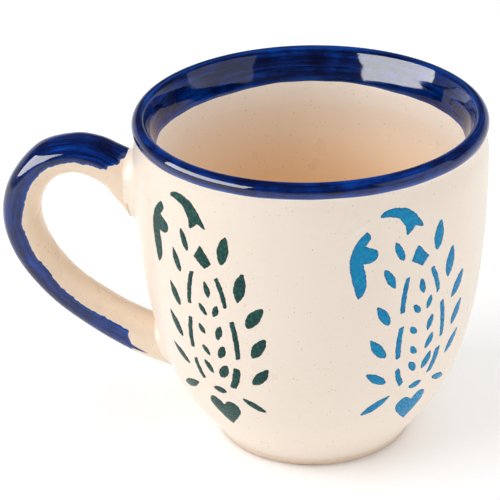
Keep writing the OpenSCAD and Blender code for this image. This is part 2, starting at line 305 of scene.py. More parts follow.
def ramp(tree, value, low, high, to_low=0.0, to_high=1.0):
    """A value carried from one range into another, and held there."""
    inputs = {
        "Value": value, "From Min": low, "From Max": high, "To Min": to_low, "To Max": to_high,
    }
    return add_node(tree, "ShaderNodeMapRange", inputs).outputs["Result"]


def math_node(tree, operation, a, b):
    """Two values joined by an operation."""
    return add_node(tree, "ShaderNodeMath", {0: a, 1: b}, operation=operation).outputs[0]


def mix(tree, share, a, b):
    """Two colours blended by a share."""
    return add_node(tree, "ShaderNodeMix", {0: share, 6: a, 7: b}, data_type="RGBA").outputs[2]


def bump(tree, height, strength, distance):
    """A fine relief of the surface. distance is in metres."""
    inputs = {"Height": height, "Strength": strength, "Distance": distance}
    return add_node(tree, "ShaderNodeBump", inputs).outputs["Normal"]


def place_of(tree):
    """The point on the object, in metres."""
    return tree.nodes.new("ShaderNodeTexCoord").outputs["Object"]


def attribute(tree, name, output):
    """A value stored on the mesh."""
    made = tree.nodes.new("ShaderNodeAttribute")
    made.attribute_name = name
    return made.outputs[output]


def scaled(tree, vector, scale):
    """A vector stretched by its own factor on each axis."""
    return add_node(tree, "ShaderNodeMapping", {"Vector": vector, "Scale": scale}).outputs["Vector"]


def new_material(name, **constants):
    """A material and its Principled shader, with the sockets that are the same all over set."""
    material = bpy.data.materials.new(name)
    material.use_nodes = True
    shader = material.node_tree.nodes["Principled BSDF"]
    for socket, value in constants.items():
        shader.inputs[socket.replace("_", " ")].default_value = value
    return material, material.node_tree, shader


def connect(tree, shader, colour, roughness, normal):
    """Feeds the shader its colour, roughness and relief."""
    tree.links.new(colour, shader.inputs["Base Color"])
    tree.links.new(roughness, shader.inputs["Roughness"])
    tree.links.new(normal, shader.inputs["Normal"])


def specks(tree, where, per_metre, size):
    """A mask of scattered round specks of many sizes, most of them tiny."""
    cells = add_node(tree, "ShaderNodeTexVoronoi", {"Vector": where, "Scale": per_metre})
    random_colour = {"Color": cells.outputs["Color"]}
    chance = add_node(tree, "ShaderNodeSeparateColor", random_colour).outputs["Red"]
    reach = math_node(tree, "MULTIPLY", math_node(tree, "POWER", chance, 5.0), size)
    gap = math_node(tree, "SUBTRACT", reach, cells.outputs["Distance"])
    return ramp(tree, gap, 0.0, size * 0.3)


# ---- Materials ----

# Heights in metres: where the painted shade in the liner starts to deepen and has its full depth,
# and where the outer glaze starts to thin towards the foot and is thinnest
painted_shade_heights = (0.076, 0.046)
thin_heights = (0.0034, 0.0008)


def glaze(name, pale, deep, speck, satin, painted_inside_shade=None):
    """A stoneware glaze: cloudy, with fine iron specks and a soft orange-peel gloss. It browns where
    it thins above the foot. If a shade colour is given, it darkens to that colour lower down:
    painted shade inside the cup."""
    material, tree, shader = new_material(name, IOR=1.5)
    where = place_of(tree)
    cloud = ramp(tree, noise(tree, where, 22, 3), 0.3, 0.7)
    grain = ramp(tree, noise(tree, where, 900, 2), 0.35, 0.75)
    tone = math_node(tree, "MULTIPLY_ADD", grain, 0.35)
    tree.links.new(math_node(tree, "MULTIPLY", cloud, 0.65), tone.node.inputs[2])
    colour = mix(tree, tone, pale, deep)
    height = add_node(tree, "ShaderNodeSeparateXYZ", {"Vector": where}).outputs["Z"]
    # Painted shade: lower down inside the cup the colour darkens towards the given tan.
    if painted_inside_shade:
        colour = mix(tree, ramp(tree, height, *painted_shade_heights), colour, painted_inside_shade)
    thinned = ramp(tree, height, *thin_heights, 0, 0.55)
    colour = mix(tree, thinned, colour, linear(206, 170, 128))
    colour = mix(tree, specks(tree, where, per_metre=1300, size=0.24), colour, speck)
    rough = ramp(tree, noise(tree, where, 60, 4), 0.3, 0.7, satin - 0.03, satin + 0.04)
    peel = noise(tree, where, 180, 2)
    connect(tree, shader, colour, rough, bump(tree, peel, strength=0.2, distance=0.00008))
    return material


def cobalt():
    """Brushed cobalt under a clear gloss: streaks along the stroke, and paler where it is thin.
    Along the lip's crest this paleness is also a painted highlight.
    """
    dense = linear(0, 2, 44)
    streaked = linear(2, 62, 160)
    thin = linear(28, 88, 182)
    material, tree, shader = new_material("cobalt", IOR=1.52)
    flow = attribute(tree, "flow", "Vector")
    edge = attribute(tree, "edge", "Fac")
    streak = noise(tree, scaled(tree, flow, (1.8, 1.8, 1.0)), 1.0, 4, 0.6)
    fine = noise(tree, scaled(tree, flow, (5, 5, 2.8)), 1.0, 3, 0.6)
    patches = ramp(tree, noise(tree, place_of(tree), 170, 5, 0.65), 0.34, 0.6, 0.2, 1.1)
    load = math_node(tree, "MULTIPLY_ADD", ramp(tree, fine, 0.35, 0.65), 0.4)
    tree.links.new(ramp(tree, streak, 0.44, 0.7, 0, 0.8), load.node.inputs[2])
    load = math_node(tree, "MULTIPLY", load, patches)
    colour = mix(tree, load, dense, streaked)
    # Paler near the coat's edges where the cobalt is thin; along the lip's crest the paleness is
    # also a painted highlight.
    rim = math_node(tree, "ADD", edge, ramp(tree, streak, 0.3, 0.7, 0.35, -0.35))
    colour = mix(tree, ramp(tree, rim, 0.95, 0.2, 0, 0.65), colour, thin)
    rough = ramp(tree, fine, 0.3, 0.7, 0.04, 0.08)
    peel = noise(tree, place_of(tree), 420, 2)
    connect(tree, shader, colour, rough, bump(tree, peel, strength=0.25, distance=0.00006))
    return material


def pigment(name, edge_colour, middle, pale):
    """Sponged underglaze colour: mottled in the middle and darker where it gathers at the edge."""
    material, tree, shader = new_material(name, IOR=1.27)
    where = place_of(tree)
    edge = attribute(tree, "edge", "Fac")
    mottle = ramp(tree, noise(tree, where, 1300, 4, 0.65), 0.38, 0.66)
    cloud = ramp(tree, noise(tree, where, 240, 3), 0.3, 0.7)
    colour = mix(tree, math_node(tree, "MULTIPLY", mottle, cloud), middle, pale)
    rim = math_node(tree, "ADD", edge, ramp(tree, mottle, 0, 1, -0.12, 0.12))
    colour = mix(tree, ramp(tree, rim, 0.42, 0.12, 0, 0.85), colour, edge_colour)
    rough = ramp(tree, mottle, 0, 1, 0.22, 0.34)
    connect(tree, shader, colour, rough, bump(tree, mottle, strength=0.2, distance=0.00004))
    return material


def bare_clay():
    """Unglazed stoneware: sandy, matt and speckled."""
    material, tree, shader = new_material("bare_clay", IOR=1.45)
    where = place_of(tree)
    tone = ramp(tree, noise(tree, where, 90, 5, 0.65), 0.3, 0.7)
    colour = mix(tree, tone, linear(196, 160, 116), linear(168, 126, 82))
    colour = mix(tree, specks(tree, where, per_metre=500, size=0.3), colour, linear(92, 60, 36))
    rough = ramp(tree, noise(tree, where, 500, 3), 0.3, 0.7, 0.72, 0.9)
    sand = noise(tree, where, 2200, 4, 0.7)
    connect(tree, shader, colour, rough, bump(tree, sand, strength=0.6, distance=0.00012))
    return material


# ---- Cup pieces ----

def wave(angle, *terms):
    """A wandering line round the cup, as a sum of [height, turns, phase]."""
    turn = np.radians(angle)
    return sum(height * np.sin(turns * turn + phase) for height, turns, phase in terms)


def unlifted(edge):
    """The lift of a coat that lies flush with the outline."""
    return 0 * edge


def lathe_shell(name, angle, low, high, spacing, depth, lift=unlifted, ridge=None):
    """A closed skin on the cup between two lengths along its outline, one of each per angle.
    lift raises it by its distance from its own nearer edge. Round a length called the ridge the
    coat counts as near an edge and turns paler: partly the coat running thin, partly a painted
    highlight."""
    rows = max(8, int(np.max(high - low) / spacing))
    share = np.linspace(0, 1, rows)[:, None]
    length = low + (high - low) * share
    edge = np.minimum(length - low, high - length)
    outer = place(angle, length, lift(edge))
    inner = place(angle, length[::-1], -depth)
    # Near the ridge the coat counts as near an edge and turns paler: partly thin glaze, partly a
    # painted highlight.
    if ridge is not None:
        edge = np.minimum(edge, 0.45 + 1.1 * np.abs(length - ridge))
    turn = np.radians(angle)
    flow = np.stack(np.broadcast_arrays(np.sin(turn), np.cos(turn), length), -1)
    return ring_mesh(
        name,
        np.concatenate([outer, inner]),
        flow=np.concatenate([flow, flow[::-1]]),
        edge=np.concatenate([edge, edge[::-1]]),
    )


def full_turn(columns):
    """Angles all the way round the cup."""
    return np.arange(columns) * 360 / columns


def clay_cup():
    """The thrown cup itself, bare on its foot. Its base keeps the turning tool's rings."""
    angle = full_turn(180)
    base_r = np.array([2, 4, 6, 8, 10, 12, 14, 16, 18, 20, 22, 23.4, 24.1])
    base_z = 0.08 + 0.06 * np.sin(base_r * 1.3)
    base_z[-1] = 0
    edge = [[24.38, 0.03], [24.52, 0.14], [24.75, 0.32]]
    profile = np.vstack([np.stack([base_r, base_z], -1), edge])
    turn = np.radians(angle)
    foot = np.stack([
        profile[:, :1] * np.sin(turn),
        -profile[:, :1] * np.cos(turn),
        profile[:, 1:] + 0 * turn,
    ], -1)
    wall = place(angle, np.linspace(0, run[-1], 150)[:, None], -glaze_t)
    poles = [[0, 0, 0.08], [0, 0, floor_z - glaze_t]]
    return ring_mesh("cup_clay", np.concatenate([foot, wall]), poles)


def outer_coat():
    """Cream glaze outside, from a wavering line above the foot's edge up under the rim band."""
    angle = full_turn(300)
    low = 0.12 + wave(angle, (0.08, 3, 0.4), (0.05, 7, 2.0), (0.04, 13, 1.0))
    high = run_outside(band_outer_z) + 1 + 0 * angle
    return lathe_shell("outer_glaze_coat", angle, low, high, spacing=0.7, depth=glaze_t)


def inner_coat():
    """The liner glaze, from under the rim band down over the floor."""
    angle = full_turn(240)
    rows = np.linspace(run_inside(band_inner_z + 1.5), run[-1], 110)[::-1]
    outer = place(angle, rows[:, None])
    inner = place(angle, rows[::-1, None], -glaze_t)
    middle = [[0, 0, floor_z], [0, 0, floor_z - glaze_t]]
    return ring_mesh("inner_glaze_coat", np.concatenate([outer, inner]), middle)


def rim_coat():
    """The cobalt band over the lip, with its two brushed edges, paler along the lip's crest: partly
    thin cobalt there, partly a painted highlight.
    """
    angle = full_turn(360)
    sway = wave(angle, (0.13, 3, 1.0), (0.08, 8, 0.3), (0.05, 21, 2.0))
    dip = wave(angle, (0.35, 4, 1.05), (0.15, 1, 0.1), (0.07, 11, 0.5), (0.04, 27, 1.5))
    low = run_outside(band_outer_z + sway)
    high = run_inside(band_inner_z + 0.1 + dip)
    # The pale line along the crest is partly thin cobalt and partly a painted highlight.
    crest = run[top_row] + 0.7
    return lathe_shell(
        "rim_band_coat", angle, low, high, spacing=0.3, depth=coat_sink, lift=coat_lift, ridge=crest
    )


coat_sink = 0.2


def coat_lift(edge):
    """How far a cobalt coat stands off the glaze, from just under it at its edge."""
    return 0.07 * smooth(edge, 0, 0.5) - 0.012


# ---- The strap handle ----

# Its outer edge, [distance from the cup's axis, height], from the upper root to the lower one
outer_edge = np.array([
    [46.6, 76], [50, 77.5], [55, 79.5], [62, 80], [71.5, 76.8], [79, 67.5],
    [81.2, 56.5], [78, 45], [69.5, 33.8], [58, 24.8], [46.5, 18.2], [37, 14.9],
])
# Its inner edge, one point facing each point of the outer edge
inner_edge = np.array([
    [46.6, 58.6], [50, 63.2], [54, 68], [60.5, 70.6], [66.3, 68.8], [70.3, 63.5],
    [71.4, 57], [69.2, 49.3], [62.8, 40.5], [53, 33.4], [45.5, 29.5], [41.6, 28],
])
last_knot = len(outer_edge) - 1
strap_w = 12.4
root_widening = 1.4
strap_fullness = 2.3
stripe_half_w = 9


def spline(knots, s):
    """The points at s along the smooth curve through the knots, where whole numbers are knots."""
    i = np.clip(np.floor(s).astype(int), 0, last_knot - 1)
    t = (s - i)[..., None]
    p0, p1, p2, p3 = (knots[np.clip(i + k, 0, last_knot)] for k in (-1, 0, 1, 2))
    slope = p2 - p0
    bend = 2 * p0 - 5 * p1 + 4 * p2 - p3
    twist = 3 * p1 - p0 - 3 * p2 + p3
    return p1 + 0.5 * t * (slope + t * (bend + t * twist))


def bulge(x):
    """A signed power, which squares up the strap's section."""
    return np.sign(x) * np.abs(x) ** (2 / strap_fullness)


def on_strap(s, turn, inset=0.0):
    """Points on the strap at s along it, turned in degrees from its outer edge, moved in by inset.
    Negative turns face -Y."""
    s, turn = np.broadcast_arrays(np.asarray(s, float), np.asarray(turn, float))
    outer, inner = spline(outer_edge, s), spline(inner_edge, s)
    reach = np.linalg.norm(outer - inner, axis=-1) / 2
    across = unit(outer - inner)
    root = 1 - np.minimum(1, np.minimum(s, last_knot - s) / 2)
    half_width = strap_w / 2 + root_widening / 2 * root ** 2
    out = (reach - inset) * bulge(np.cos(np.radians(turn)))
    middle = (outer + inner) / 2 + across * out[..., None]
    side = (half_width - inset) * bulge(np.sin(np.radians(turn)))
    return np.stack([-middle[..., 0], side, middle[..., 1]], -1)


strap_s = np.linspace(0, last_knot, 600)
strap_middle = (spline(outer_edge, strap_s) + spline(inner_edge, strap_s)) / 2
strap_run = np.concatenate([[0], np.cumsum(np.hypot(*np.diff(strap_middle, axis=0).T))])


def strap_place(length):
    """The place s along the strap that lies a length along its middle from the upper root."""
    return np.interp(length, strap_run, strap_s)


def strap_coat():
    """Cream glaze all round the strap."""
    s = strap_place(np.linspace(0, strap_run[-1], 170))[:, None]
    turn = full_turn(80)
    rings = np.concatenate([on_strap(s, turn), on_strap(s[::-1], turn, glaze_t)])
    return ring_mesh("strap_glaze_coat", rings)


def step_wave(length):
    """Small sudden steps in a brushed edge."""
    step_out = smooth(np.sin(length * 0.33 + 1.1), 0.6, 0.7)
    step_in = smooth(np.sin(length * 0.19), 0.64, 0.7)
    return 2.6 * step_out - 2.2 * step_in


def stripe_ends(over):
    """The lengths along the strap where the stripe starts and ends. Both ends slant back at the
    sides, and one run of cobalt reaches further down."""
    slant = np.abs(over) ** 1.3
    ragged = 0.25 * np.sin(over * 17 + 1) + 0.18 * np.sin(over * 31)
    start = np.interp(0.08 + 1.7 * slant, strap_s, strap_run) + ragged
    tail = 4.2 * np.exp(-((over + 0.62) / 0.05) ** 2)
    end = np.interp(10.0 - 0.3 * slant, strap_s, strap_run) + 0.8 * ragged + tail
    return start, end


def stripe_sides(length, over):
    """The degrees from the strap's outer edge that each side of the stripe reaches. Lower down it
    comes further over the side that faces -Y."""
    sides = 92 + 1.6 * np.sin(length * 0.21 + 2) + 1.2 * np.sin(length * 0.55) + step_wave(length)
    sides = sides + 15 * smooth(length, 22, 40) * smooth(-over, 0, 0.5)
    ripple = 0.9 * np.sin(length * 2.1) * np.sin(length * 0.31)
    return sides + ripple + 0.5 * np.sin(length * 3.7 + 1)


def stripe_coat():
    """The cobalt stripe on the strap's outer half. over runs from -1 to 1 across it."""
    rows, columns = 260, 64
    down = np.linspace(0, 1, rows)[:, None]
    over = np.linspace(-1, 1, columns)
    start, end = stripe_ends(over)
    length = start + (end - start) * down
    turn = over * stripe_sides(length, over)
    s = strap_place(length)
    side_gap = (1 - np.abs(over)) * stripe_half_w
    edge = np.minimum(np.minimum(length - start, end - length), side_gap)
    top = on_strap(s, turn, -coat_lift(edge))
    bottom = on_strap(s, turn, coat_sink)
    points, closed = patch(top.reshape(-1, 3), bottom.reshape(-1, 3), open_grid(rows, columns))
    across = over * stripe_half_w + 0 * length
    flow = np.stack([length / 45, 0 * length, across], -1).reshape(-1, 3)
    return make_mesh(
        "strap_stripe_coat", points, closed, np.vstack([flow, flow]), np.tile(edge.ravel(), 2)
    )


def open_grid(rows, columns):
    """The quads of a grid that doesn't wrap."""
    i, k = np.meshgrid(np.arange(rows - 1), np.arange(columns - 1), indexing="ij")
    first = i * columns + k
    corners = [first, first + 1, first + columns + 1, first + columns]
    return np.stack(corners, -1).reshape(-1, 4).tolist()


# ---- The slip that joins each root to the wall ----

def onto_wall(points, direction):
    """Where points meet the wall when they move up to 9 mm along a direction: their angles and
    their lengths along the outline, found by halving."""
    near, far = np.zeros(len(points)), np.full(len(points), 9.0)
    for _ in range(40):
        half = (near + far) / 2
        moved = points + half[:, None] * direction
        gap = np.hypot(moved[:, 0], moved[:, 1]) - wall_radius(moved[:, 2])
        near, far = np.where(gap > 0, half, near), np.where(gap > 0, far, half)
    moved = points + near[:, None] * direction
    return np.degrees(np.arctan2(moved[:, 0], -moved[:, 1])), run_outside(moved[:, 2])


slip_spread = 2.4
slip_sink = 0.015


def root_coat(name, s_end, s_from):
    """Slip smoothed from the strap out on to the wall, as one cove all round the root. s_end is the
    strap's end at the wall and s_from where the slip starts on the strap."""
    turn = full_turn(96)
    end_ring = on_strap(s_end + 0 * turn, turn)
    strap_ring = on_strap(s_from + 0 * turn, turn, slip_sink)
    upper, lower = on_strap(float(s_end), 0.0), on_strap(float(s_end), 180.0)
    face = unit(upper - lower)
    inward = np.array([abs(face[2]), 0, -face[0] * np.sign(face[2])])
    angle, length = onto_wall(end_ring, inward)
    radius = np.interp(length, run, outline[:, 0])
    flat = np.stack([np.radians(angle) * radius, length], -1)
    along = unit(np.roll(flat, -1, 0) - np.roll(flat, 1, 0))
    out = np.stack([along[:, 1], -along[:, 0]], -1)
    out *= np.sign(np.sum(out * (flat - flat.mean(0)), -1, keepdims=True))

    def wall_ring(reach, lift):
        """The root's outline on the wall, grown by a reach and raised by a lift."""
        moved = flat + out * reach
        return place(np.degrees(moved[:, 0] / radius), moved[:, 1], lift)

    corner = place(angle, length)
    wall_edge = wall_ring(slip_spread, -slip_sink)
    strap_way = unit(end_ring - on_strap(s_from + 0 * turn, turn))
    strap_gap = np.linalg.norm(corner - strap_ring, axis=-1)[:, None]
    strap_handle = strap_ring + strap_way * 0.6 * strap_gap
    wall_handle = wall_ring(slip_spread * 0.4, -slip_sink)
    t = np.linspace(0, 1, 16)[:, None, None]
    cove = cubic(strap_ring, strap_handle, wall_handle, wall_edge, t)
    under_wall = wall_ring(slip_spread, -0.5)
    inside_strap = on_strap(s_from + 0 * turn, turn, 0.6)
    rings = np.concatenate([inside_strap[None], cove, under_wall[None]])
    poles = [inside_strap.mean(0), under_wall.mean(0) + 0.5 * inward]
    return ring_mesh(name, rings, poles)


# ---- Painted sprigs ----

# Leaves: [degrees right of the sprig's axis, height, lean from upright to the right, length, width]
outer_leaves = [
    [-7.5, 70.2, -20, 6.3, 1.9], [-11.5, 63.5, -22, 6.7, 2.1], [-14, 53.3, -27, 7, 2.4],
    [-16, 43.8, -30, 7.8, 2.5], [-16.6, 34.5, -50, 7.3, 2.3], [-16.3, 25.1, 62, 9, 2.3],
    [7.8, 70.4, 10, 8.3, 3], [13.1, 61.1, 12, 8.7, 3], [17.5, 53, 36, 8, 3],
    [18.3, 44.2, 32, 7.5, 2.8], [17.9, 35.3, 40, 7.3, 2.6], [13.7, 25.2, -62, 7.3, 1.9],
]
inner_leaves = [
    [0.6, 58.3, -12, 4.6, 1.7], [-1.6, 52.2, -35, 3.8, 1.5], [-2.8, 46.2, -32, 3.3, 1.5],
    [-2.4, 39.9, -35, 3.5, 1.5], [-2.5, 34.7, -32, 4.3, 1.8], [3.5, 52.7, 20, 3.8, 1.6],
    [4.2, 46.4, 18, 4.7, 1.8], [4.3, 40.7, 28, 4.7, 2], [3.9, 34.6, 30, 5.3, 2.4],
    [0.4, 27.8, 90, 4.2, 2],
]
# Stem strokes: [top degrees, top height, bottom degrees, bottom height, width]
stem_strokes = [
    [-4.9, 62.1, -7.2, 52.5, 1.2], [-7.5, 48.4, -8.6, 39, 1.3], [-8.6, 35.6, -6.3, 29.9, 1.3],
    [4.6, 62.2, 7.4, 54.5, 1.2], [9.3, 50.8, 10.4, 39.8, 1.3], [9.4, 36.6, 6.5, 29.8, 1.8],
]
# Outlines: [degrees right of the axis, height, 1 at a sharp corner or 0 on a smooth bend]
bud_points = [[-0.8, 70.3, 1], [3.2, 66, 1], [0.5, 64.1, 1], [-3.5, 66.6, 1]]
hook_points = [
    [-14, 80.9, 1], [-11.5, 81.9, 0], [-9, 82.1, 0], [-4.6, 81.2, 0], [-1.3, 78.9, 0],
    [1.8, 74.8, 1], [-1.5, 75.9, 1], [-4.8, 73.8, 1], [-5.2, 76.5, 0], [-7.5, 79.4, 0],
    [-11.5, 80.5, 0],
]
lobed_points = [
    [-18, 77.8, 1], [-17, 76, 0], [-19, 74, 1], [-15.4, 72.3, 0], [-15.2, 70.5, 0],
    [-17.5, 69.3, 0], [-20, 69.5, 1], [-19.3, 65, 0], [-20, 61.6, 0], [-22.3, 59.8, 1],
    [-23.6, 65, 0], [-24, 70.5, 0], [-21.7, 75, 0],
]
# The heart's right half in millimetres from the axis and in height, with its corners marked
heart_half = [
    [0, 15.4, 1], [2.7, 18.5, 0], [4.5, 21.2, 0], [4.4, 23.2, 0], [2.9, 24.3, 0], [1.3, 23.8, 0],
]
heart_notch = [0, 22.4, 1]
# The height that a whole sprig tilts about, the spacing of a stroke's outline points, how much of
# its edge sinks into the glaze, and how deep its patch goes
sprig_middle = 48
paint_spacing = 0.32
sunk_edge = 0.17
paint_depth = 0.15


def bent_outline(points, steps=8):
    """A closed outline through points that bends smoothly at all but its sharp corners."""
    places = np.array(points, float)[:, :2]
    sharp = [point[2] for point in points]
    count = len(points)
    t = np.linspace(0, 1, steps, endpoint=False)[:, None]
    parts = []
    for i in range(count):
        before, here, there, after = (places[(i + k) % count] for k in (-1, 0, 1, 2))
        leave = (there - here) if sharp[i] else (there - before) / 2
        arrive = (there - here) if sharp[(i + 1) % count] else (after - here) / 2
        parts.append(cubic(here, here + leave / 3, there - arrive / 3, there, t))
    return np.vstack(parts)


def leaned(points, lean, middle):
    """An outline leaned to the right by degrees and moved to its middle."""
    a = math.radians(lean)
    x, y = points.T
    turned = [x * math.cos(a) + y * math.sin(a), y * math.cos(a) - x * math.sin(a)]
    return np.stack(turned, -1) + middle


def leaf_outline(length, width, fullness):
    """A leaf stood on its end: pointed at the tip, rounder at the base, and fuller on one side."""
    t = np.linspace(-1, 1, 15)
    half = width / 2 * (1 - t ** 2) ** 0.9 * (1 - 0.12 * t)
    right = np.stack([half * fullness, length / 2 * t], -1)
    left = np.stack([-half * (2 - fullness), length / 2 * t], -1)[::-1]
    return np.vstack([right, left[1:-1]])


def stem_outline(top, bottom, width, bow):
    """A short brushed stroke between two points, bowed to one side, with slanting ends."""
    t = np.linspace(0, 1, 13)[:, None]
    way = unit(top - bottom)
    side = np.array([way[1], -way[0]])
    line = bottom + (top - bottom) * t + side * bow * 4 * t * (1 - t)
    half = width / 2 * (0.86 + 0.2 * np.sin(t * 2.6 + 0.2))
    slant = way * 0.18 * width
    return np.vstack([line + side * half + slant, (line - side * half - slant)[::-1]])


def sprig_strokes(random):
    """Each stroke as its own angle from the sprig's axis and an outline in [mm, height]."""
    strokes = []
    for degrees, z, lean, length, width in outer_leaves + inner_leaves:
        leaf = leaf_outline(length, width, random.uniform(0.8, 1.2))
        strokes.append((degrees, leaned(leaf, lean + random.uniform(-2, 2), [0, z])))
    for top_degrees, top_z, low_degrees, low_z, width in stem_strokes:
        middle = (top_degrees + low_degrees) / 2
        radius = wall_radius((top_z + low_z) / 2)
        half = math.radians(top_degrees - low_degrees) * radius / 2
        bow = -0.35 if middle < 0 else 0.35
        ends = np.array([half, top_z]), np.array([-half, low_z])
        strokes.append((middle, stem_outline(*ends, width, bow)))
    for points, middle in ((bud_points, 0), (hook_points, -6), (lobed_points, -20)):
        shape = bent_outline(points)
        across = np.radians(shape[:, 0] - middle) * wall_radius(shape[:, 1])
        strokes.append((middle, np.stack([across, shape[:, 1]], -1)))
    left = [[-x, z, sharp] for x, z, sharp in heart_half[:0:-1]]
    strokes.append((0, bent_outline(heart_half + [heart_notch] + left)))
    return strokes


def even_outline(points, spacing):
    """A closed outline with its points spread evenly."""
    closed = np.vstack([points, points[:1]])
    length = np.concatenate([[0], np.cumsum(np.hypot(*np.diff(closed, axis=0).T))])
    count = max(8, int(length[-1] / spacing))
    at = np.arange(count) * length[-1] / count
    return np.stack([np.interp(at, length, closed[:, k]) for k in (0, 1)], -1), at


def ruffled(points, at, random):
    """An outline with the slight raggedness of a painted edge, and the width that sinks into the
    glaze at its edge added."""
    along = unit(np.roll(points, -1, 0) - np.roll(points, 1, 0))
    side = np.stack([along[:, 1], -along[:, 0]], -1)
    x, y = points.T
    side *= np.sign(np.sum(x * np.roll(y, -1) - y * np.roll(x, -1)))
    rough = np.full(len(points), sunk_edge)
    for wavelength, height in ((3.1, 0.05), (1.4, 0.035), (0.8, 0.025)):
        turns = max(1, round((at[-1] + paint_spacing) / wavelength))
        phase = random.uniform(0, 2 * math.pi)
        rough += height * np.sin(turns * 2 * math.pi * at / (at[-1] + paint_spacing) + phase)
    return points + side * rough[:, None]


def distance_to(points, loop):
    """The distance of each point to a closed outline."""
    a, b = loop, np.roll(loop, -1, 0)
    way = b - a
    from_a = points[:, None] - a
    t = np.clip((from_a * way).sum(-1) / (way ** 2).sum(-1), 0, 1)
    return np.linalg.norm(from_a - t[..., None] * way, axis=-1).min(1)


def within(points, loop):
    """Which points lie inside a closed outline."""
    x, y = points[:, None, 0], points[:, None, 1]
    x0, y0 = loop.T
    x1, y1 = np.roll(loop, -1, 0).T
    crosses = (y0 > y) != (y1 > y)
    height = np.where(y1 == y0, 1, y1 - y0)
    return (crosses & (x < (x1 - x0) * (y - y0) / height + x0)).sum(1) % 2 == 1


def stroke_triangles(loop):
    """The points and triangles that fill a closed outline."""
    low, high = loop.min(0), loop.max(0)
    step = paint_spacing * 1.25
    x, y = np.meshgrid(*(np.arange(low[k] + step / 2, high[k], step) for k in (0, 1)))
    x[1::2] += step / 2
    inner = np.stack([x.ravel(), y.ravel()], -1)
    inner = inner[within(inner, loop)]
    inner = inner[distance_to(inner, loop) > paint_spacing * 0.7]
    points = [Vector(p) for p in np.vstack([loop, inner])]
    made = delaunay_2d_cdt(points, [], [list(range(len(loop)))], 1, 1e-6)
    return np.array([tuple(p) for p in made[0]]), [list(face) for face in made[2]]


def paint_lift(edge):
    """How far the painted pigment stands off the glaze, from just under it at its edge."""
    return 0.06 * smooth(edge, 0, 0.4) - 0.012


def tilted(degrees, shape, tilt):
    """A stroke moved and turned as its whole sprig tilts about its middle, with its top to the
    left by degrees."""
    z = (shape[:, 1].min() + shape[:, 1].max()) / 2
    place_in_sprig = np.array([[math.radians(degrees) * wall_radius(z), z - sprig_middle]])
    (x, up), = leaned(place_in_sprig, -tilt, [0, 0])
    new_degrees = math.degrees(x / wall_radius(up + sprig_middle))
    return new_degrees, leaned(shape - [0, z], -tilt, [0, up + sprig_middle])


def sprig_coat(name, axis_angle, seed, tilt=0):
    """One painted sprig: every stroke a thin closed patch that follows the wall."""
    random = np.random.default_rng(seed)
    points, faces, edges = [], [], []
    base = 0
    for upright_degrees, upright_shape in sprig_strokes(random):
        degrees, shape = tilted(upright_degrees, upright_shape, tilt)
        loop = ruffled(*even_outline(shape, paint_spacing), random)
        flat, triangles = stroke_triangles(loop)
        edge = distance_to(flat, loop)
        angle = axis_angle + degrees + np.degrees(np.arcsin(flat[:, 0] / wall_radius(flat[:, 1])))
        length = run_outside(flat[:, 1])
        top = place(angle, length, paint_lift(edge))
        bottom = place(angle, length, -paint_depth)
        skins, closed = patch(top, bottom, triangles, base)
        points.append(skins)
        faces += closed
        edges.append(np.tile(edge, 2))
        base += len(skins)
    return make_mesh(name, np.vstack(points), faces, edge=np.concatenate(edges))


# ---- The mug ----

near_sprig_angle = 61.5
far_sprig_angle = 135
near_blue_tilt = 3.7


def cream_glazes():
    """The glaze on the wall, the strap's darker and warmer copy of it, which is painted shade, and
    the liner inside, paler with painted light and darker lower down with painted shade.
    """
    cream = glaze(
        "cream_glaze",
        pale=linear(250, 236, 221),
        deep=linear(246, 231, 214),
        speck=linear(206, 164, 122),
        satin=0.3,
    )
    # The strap's glaze is the wall's cream made darker and warmer: painted shade for the strap's
    # shaded faces.
    strap_cream_painted_shade = glaze(
        "strap_glaze",
        pale=linear(246, 226, 203),
        deep=linear(240, 217, 191),
        speck=linear(190, 150, 112),
        satin=0.26,
    )
    # The liner is the cream painted paler, as painted light inside the cup, and its tan lower down
    # is painted shade.
    liner = glaze(
        "liner_glaze_painted_light_and_shade",
        pale=linear(255, 248, 238),
        deep=linear(253, 244, 231),
        speck=linear(206, 166, 126),
        satin=0.3,
        painted_inside_shade=linear(250, 214, 165),
    )
    return cream, strap_cream_painted_shade, liner


def build_cup_and_handle(clay):
    """The cup, the strap's coats and the slip at its roots, each with its finish."""
    cream, strap_cream_painted_shade, liner = cream_glazes()
    blue_band = cobalt()
    finish_piece(clay_cup(), "stoneware_body", clay)
    finish_piece(outer_coat(), "outer_glaze", cream)
    finish_piece(inner_coat(), "inner_glaze", liner)
    finish_piece(rim_coat(), "rim_band", blue_band)
    finish_piece(strap_coat(), "handle_glaze", strap_cream_painted_shade)
    finish_piece(stripe_coat(), "handle_stripe", blue_band)
    upper = root_coat("upper_root_coat", 0, 0.45)
    lower = root_coat("lower_root_coat", last_knot, last_knot - 0.22)
    finish_piece(upper, "upper_handle_slip", cream)
    finish_piece(lower, "lower_handle_slip", cream)


def build_sprigs():
    """The four sprigs: each node, its angle, slot, pigment, seed and tilt."""
    green = pigment("green_pigment", linear(2, 35, 33), linear(8, 62, 58), linear(33, 95, 86))
    blue = pigment("blue_pigment", linear(0, 86, 140), linear(0, 127, 179), linear(18, 160, 203))
    sprigs = [
        ("front_green_sprig", HANDLE_ANGLE + near_sprig_angle, "green_paint", green, 1, 0),
        ("front_blue_sprig", HANDLE_ANGLE + far_sprig_angle, "blue_paint", blue, 2, near_blue_tilt),
        ("back_green_sprig", HANDLE_ANGLE - far_sprig_angle, "green_paint", green, 3, 0),
        ("back_blue_sprig", HANDLE_ANGLE - near_sprig_angle, "blue_paint", blue, 4, 0),
    ]
    for node, angle, slot, material, seed, tilt in sprigs:
        finish_piece(sprig_coat(node + "_coat", angle, seed, tilt), node, material)


